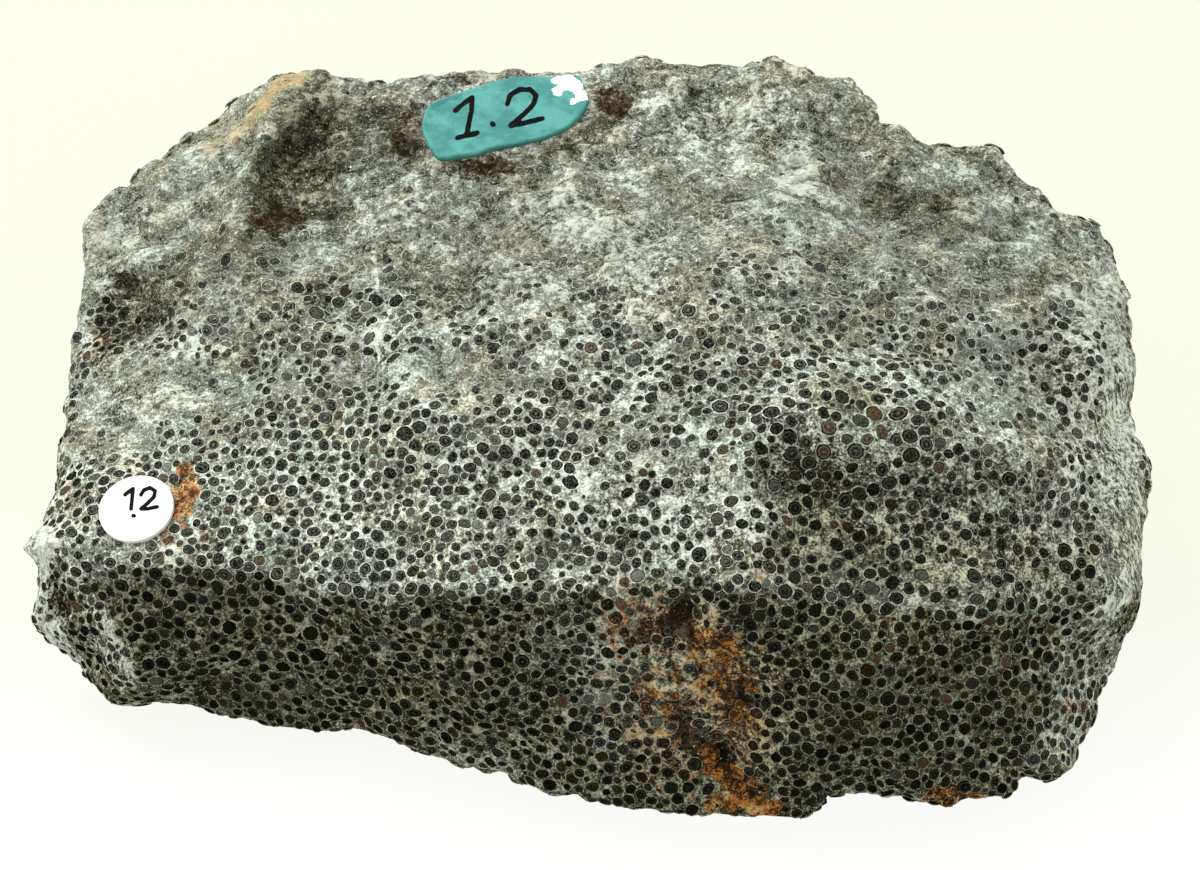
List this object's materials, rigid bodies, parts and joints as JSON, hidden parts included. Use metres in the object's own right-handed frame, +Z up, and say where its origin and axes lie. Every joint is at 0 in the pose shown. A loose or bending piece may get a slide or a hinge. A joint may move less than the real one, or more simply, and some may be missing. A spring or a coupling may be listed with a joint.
{
  "type": "oolite specimen",
  "caption": "Broken hand specimen of oolite: a blocky grey stone packed with round dark grains, with a round paper spot and a painted number patch.",
  "frame": {"origin": "below the middle of the stone, on the level of the flat spot that it rests on", "axes": "+X along the stone's length towards its right end, +Y towards its rear, +Z up"},
  "size_m": [0.1174, 0.0824, 0.0417],
  "materials": {
    "stone": "broken oolite: dark glossy grains about a millimetre and a half across in a pale grey cement, rust stained in places",
    "paper": "smooth white round paper spot with a plain inked number",
    "paint": "brushed teal enamel with a plain inked number and a chipped white corner"
  },
  "bodies": {
    "root": {"stone": "stone", "paper_spot": "paper", "paint_patch": "paint"}
  },
  "joints": []
}
